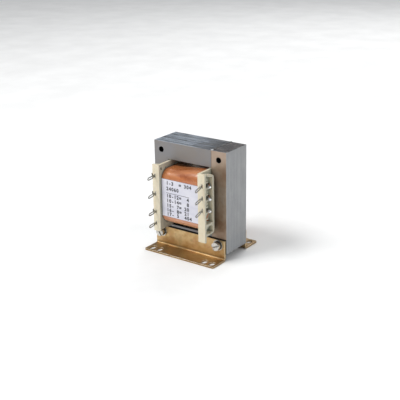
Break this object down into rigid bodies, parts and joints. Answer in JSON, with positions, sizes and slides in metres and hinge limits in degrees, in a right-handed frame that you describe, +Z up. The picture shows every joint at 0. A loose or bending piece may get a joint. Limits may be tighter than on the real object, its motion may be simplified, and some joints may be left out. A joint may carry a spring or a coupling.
{
  "type": "laminated chassis transformer",
  "caption": "Iron-cored mains transformer on two slotted angle feet, with a taped coil on a moulded bobbin and rows of solder tags on its front.",
  "frame": {"origin": "middle of the overall footprint, on the plane the feet stand on", "axes": "+X along the coil's axis towards the joint side of the core, +Z up, the tags face -Y"},
  "size_m": [0.07, 0.0712, 0.0905],
  "materials": {
    "core_plate": "varnished electrical steel",
    "weld": "weld seam under varnish",
    "bobbin_moulding": "moulded ivory plastic",
    "copper": "enamelled copper wire",
    "barrier_film": "insulating film",
    "tape": "orange-brown polyester tape",
    "label": "plain label",
    "foot_sheet": "yellow-passivated zinc on steel",
    "fastener": "zinc-plated",
    "spring_steel": "blackened spring steel",
    "tag_metal": "tinned brass",
    "lead_wire": "enamelled copper wire",
    "solder": "solder"
  },
  "bodies": {
    "root": {"e_stack": "core_plate", "i_stack": "core_plate", "top_weld": "weld", "bottom_weld": "weld", "bobbin": "bobbin_moulding", "inner_winding": "copper", "winding_barrier": "barrier_film", "outer_winding": "copper", "outer_tape": "tape", "coil_label": "label", "front_foot": "foot_sheet", "rear_foot": "foot_sheet", "clamp_screws": "fastener", "spring_washers": "spring_steel", "front_washers": "fastener", "rear_washers": "fastener", "clamp_nuts": "fastener", "left_tag_1": "tag_metal", "left_tag_2": "tag_metal", "left_tag_3": "tag_metal", "left_tag_4": "tag_metal", "right_tag_1": "tag_metal", "right_tag_2": "tag_metal", "right_tag_3": "tag_metal", "left_lead_1": "lead_wire", "left_lead_2": "lead_wire", "left_lead_3": "lead_wire", "left_lead_4": "lead_wire", "right_lead_1": "lead_wire", "right_lead_2": "lead_wire", "right_lead_3": "lead_wire", "left_solder_1": "solder", "left_solder_2": "solder", "left_solder_3": "solder", "left_solder_4": "solder", "right_solder_1": "solder", "right_solder_2": "solder", "right_solder_3": "solder"}
  },
  "joints": []
}
